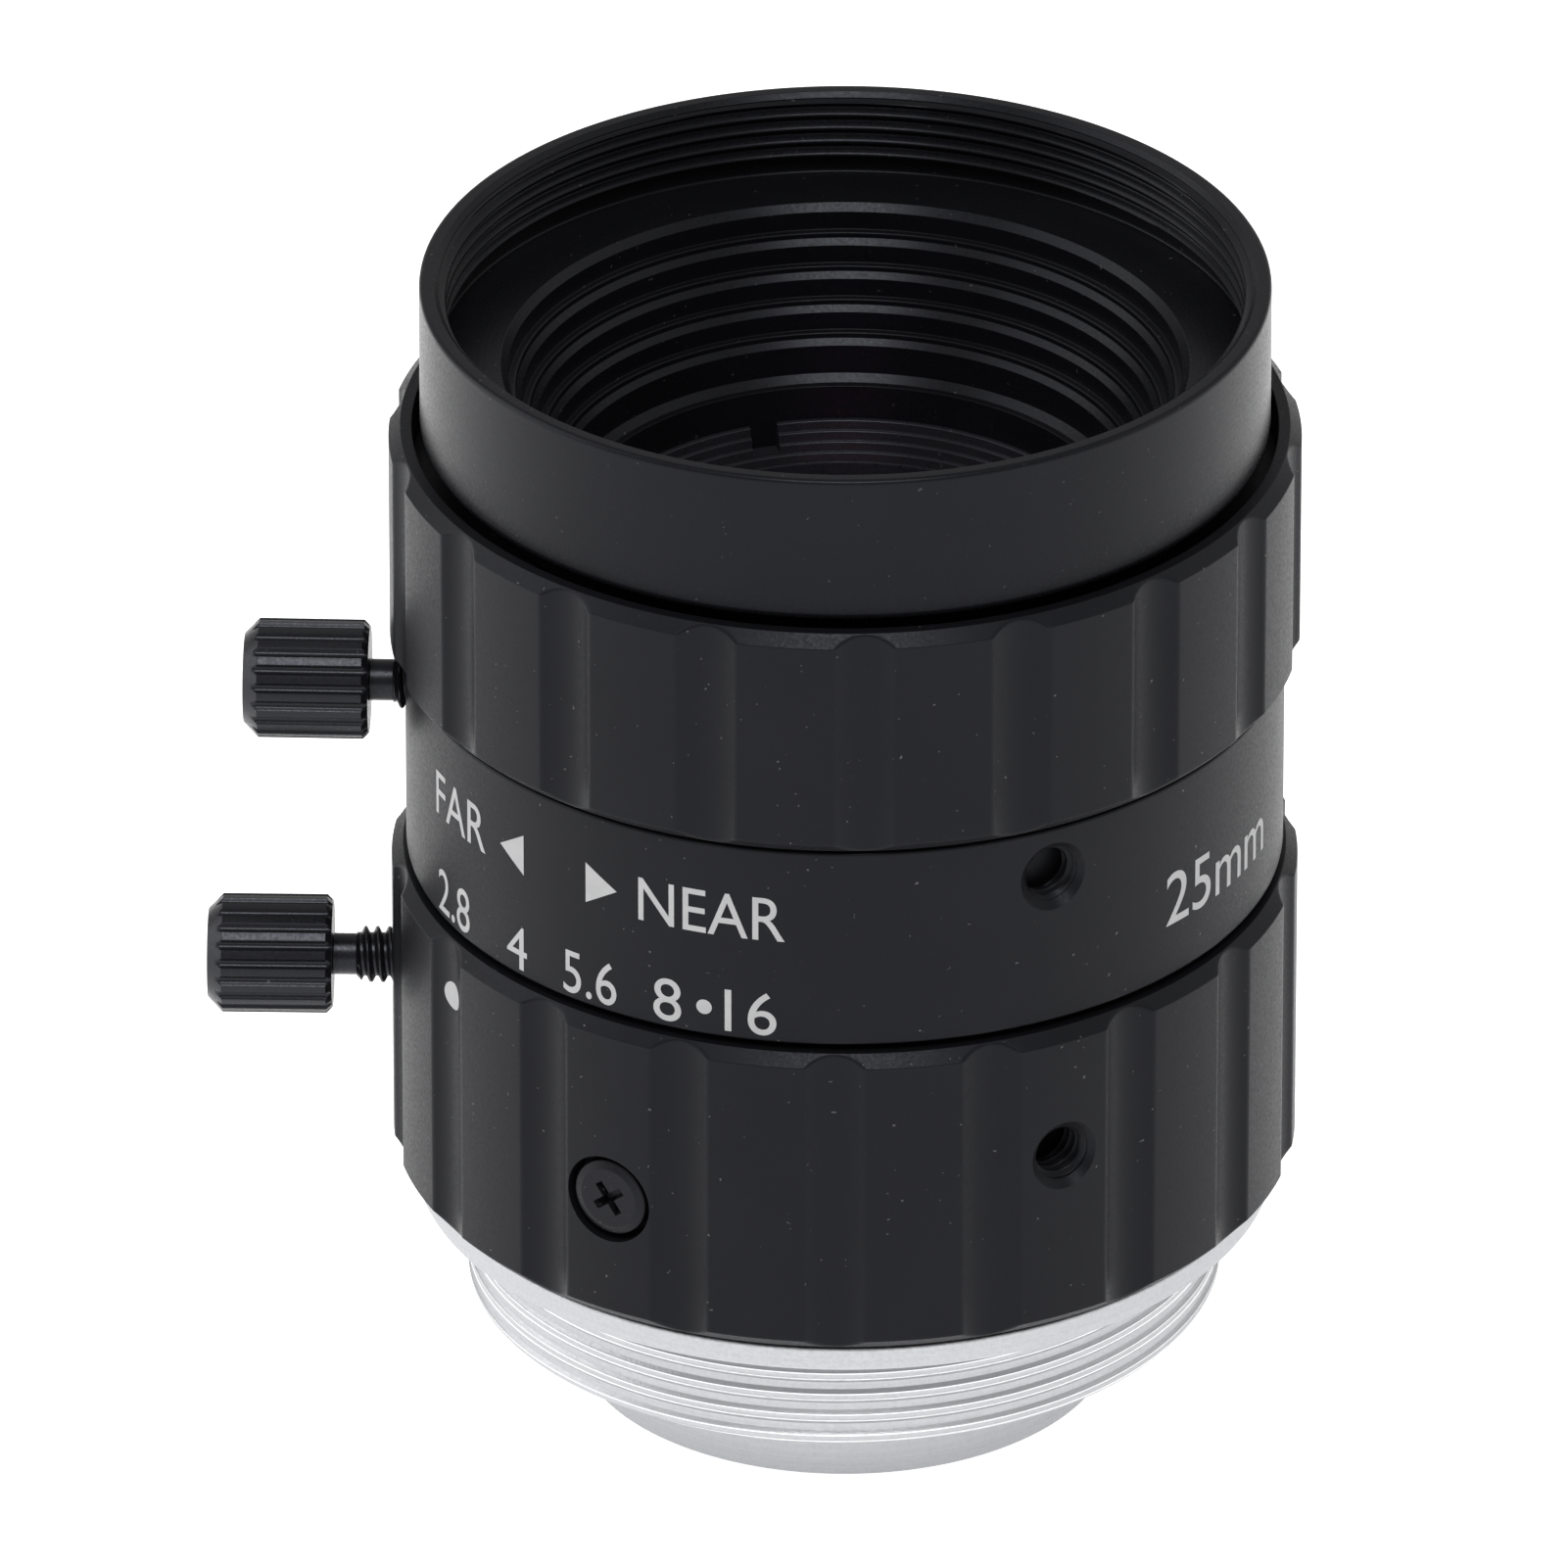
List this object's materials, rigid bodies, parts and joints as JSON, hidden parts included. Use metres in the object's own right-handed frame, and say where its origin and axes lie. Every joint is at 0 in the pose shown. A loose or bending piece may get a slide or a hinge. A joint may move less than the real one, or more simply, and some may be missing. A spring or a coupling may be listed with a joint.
{
  "type": "c-mount machine vision lens",
  "caption": "Fixed focal length lens for a machine vision camera, with fluted focus and iris rings, knurled lock screws, a stepped front hood and a silver C-mount.",
  "frame": {"origin": "centre of the C-mount flange face, on the optical axis", "axes": "+Z along the optical axis towards the front of the lens; -Y towards the side with the distance and aperture marks; the lock screws point to -X at rest"},
  "size_m": [0.0366, 0.0304, 0.0406],
  "materials": {
    "black_barrel": "black anodised, satin",
    "black_grip": "black anodised, satin",
    "black_front": "black anodised, fine turned satin",
    "black_knob": "black anodised, knurled",
    "black_steel": "black oxide",
    "silver_mount": "fine turned satin, clear anodised",
    "iris_foil": "blackened foil",
    "coated_glass": "polished, anti-reflection coated",
    "clear_glass": "polished",
    "marking_paint": "white engraving fill"
  },
  "bodies": {
    "housing": {"mount_ring": "silver_mount", "rear_barrel": "black_barrel", "fixed_barrel": "black_barrel", "mount_set_screws": "black_steel", "guide_screw": "black_steel"},
    "focus_ring": {"focus_ring": "black_grip", "focus_retainer": "black_barrel"},
    "lens_block": {"front_barrel": "black_front", "lens_barrel": "black_barrel", "front_cell": "black_barrel", "rear_cell": "black_barrel", "front_retaining_ring": "black_front", "rear_retaining_ring": "black_front", "rear_doublet_ring": "black_front", "front_element": "coated_glass", "front_doublet_crown": "clear_glass", "front_doublet_flint": "clear_glass", "rear_doublet_flint": "clear_glass", "rear_doublet_crown": "clear_glass", "rear_element": "coated_glass", "iris_case": "black_barrel", "iris_cover": "black_barrel"},
    "iris_ring": {"iris_ring": "black_grip", "iris_drive_screw": "black_steel"},
    "iris_cam": {"iris_cam_ring": "black_steel"},
    "blade_1": {"iris_blade_1": "iris_foil"},
    "blade_2": {"iris_blade_2": "iris_foil"},
    "blade_3": {"iris_blade_3": "iris_foil"},
    "blade_4": {"iris_blade_4": "iris_foil"},
    "blade_5": {"iris_blade_5": "iris_foil"},
    "blade_6": {"iris_blade_6": "iris_foil"},
    "focus_lock": {"focus_lock_screw": "black_knob"},
    "iris_lock": {"iris_lock_screw": "black_knob"}
  },
  "joints": [
    {"name": "focus_turn", "type": "hinge", "parent": "housing", "child": "focus_ring", "pos_m": [0, 0, 0.022], "axis": [0, 0, 1], "range_deg": [-24.01, 144.01]},
    {"name": "focus_travel", "type": "slide", "parent": "housing", "child": "lens_block", "axis": [0, 0, 1], "range_m": [-0.0004, 0.0024]},
    {"name": "iris_turn", "type": "hinge", "parent": "housing", "child": "iris_ring", "pos_m": [0, 0, 0.0067], "axis": [0, 0, 1], "range_deg": [0, 50]},
    {"name": "iris_cam_turn", "type": "hinge", "parent": "lens_block", "child": "iris_cam", "pos_m": [0, 0, 0.0114], "axis": [0, 0, 1], "range_deg": [0, 50]},
    {"name": "focus_lock_turn", "type": "hinge", "parent": "housing", "child": "focus_lock", "pos_m": [-0.01469, 0.00051, 0.018], "axis": [-0.9994, 0.0349, 0], "range_deg": [0, 360]},
    {"name": "iris_lock_turn", "type": "hinge", "parent": "iris_ring", "child": "iris_lock", "pos_m": [-0.0152, 0.00032, 0.0076], "axis": [-0.9998, 0.0209, 0], "range_deg": [0, 360]},
    {"name": "blade_1_swing", "type": "hinge", "parent": "lens_block", "child": "blade_1", "pos_m": [0.0076, 0, 0.0105], "axis": [0, 0, 1], "range_deg": [0, 26]},
    {"name": "blade_2_swing", "type": "hinge", "parent": "lens_block", "child": "blade_2", "pos_m": [0.0038, 0.00658, 0.0105], "axis": [0, 0, 1], "range_deg": [0, 26]},
    {"name": "blade_3_swing", "type": "hinge", "parent": "lens_block", "child": "blade_3", "pos_m": [-0.0038, 0.00658, 0.0105], "axis": [0, 0, 1], "range_deg": [0, 26]},
    {"name": "blade_4_swing", "type": "hinge", "parent": "lens_block", "child": "blade_4", "pos_m": [-0.0076, 0, 0.0105], "axis": [0, 0, 1], "range_deg": [0, 26]},
    {"name": "blade_5_swing", "type": "hinge", "parent": "lens_block", "child": "blade_5", "pos_m": [-0.0038, -0.00658, 0.0105], "axis": [0, 0, 1], "range_deg": [0, 26]},
    {"name": "blade_6_swing", "type": "hinge", "parent": "lens_block", "child": "blade_6", "pos_m": [0.0038, -0.00658, 0.0105], "axis": [0, 0, 1], "range_deg": [0, 26]}
  ],
  "couplings": [
    {"joint": "focus_turn", "follows": "focus_travel", "rad_per_m": 1047.2},
    {"joint": "iris_cam_turn", "follows": "iris_turn", "ratio": 1},
    {"joint": "blade_1_swing", "follows": "iris_turn", "ratio": 0.52},
    {"joint": "blade_2_swing", "follows": "iris_turn", "ratio": 0.52},
    {"joint": "blade_3_swing", "follows": "iris_turn", "ratio": 0.52},
    {"joint": "blade_4_swing", "follows": "iris_turn", "ratio": 0.52},
    {"joint": "blade_5_swing", "follows": "iris_turn", "ratio": 0.52},
    {"joint": "blade_6_swing", "follows": "iris_turn", "ratio": 0.52}
  ]
}
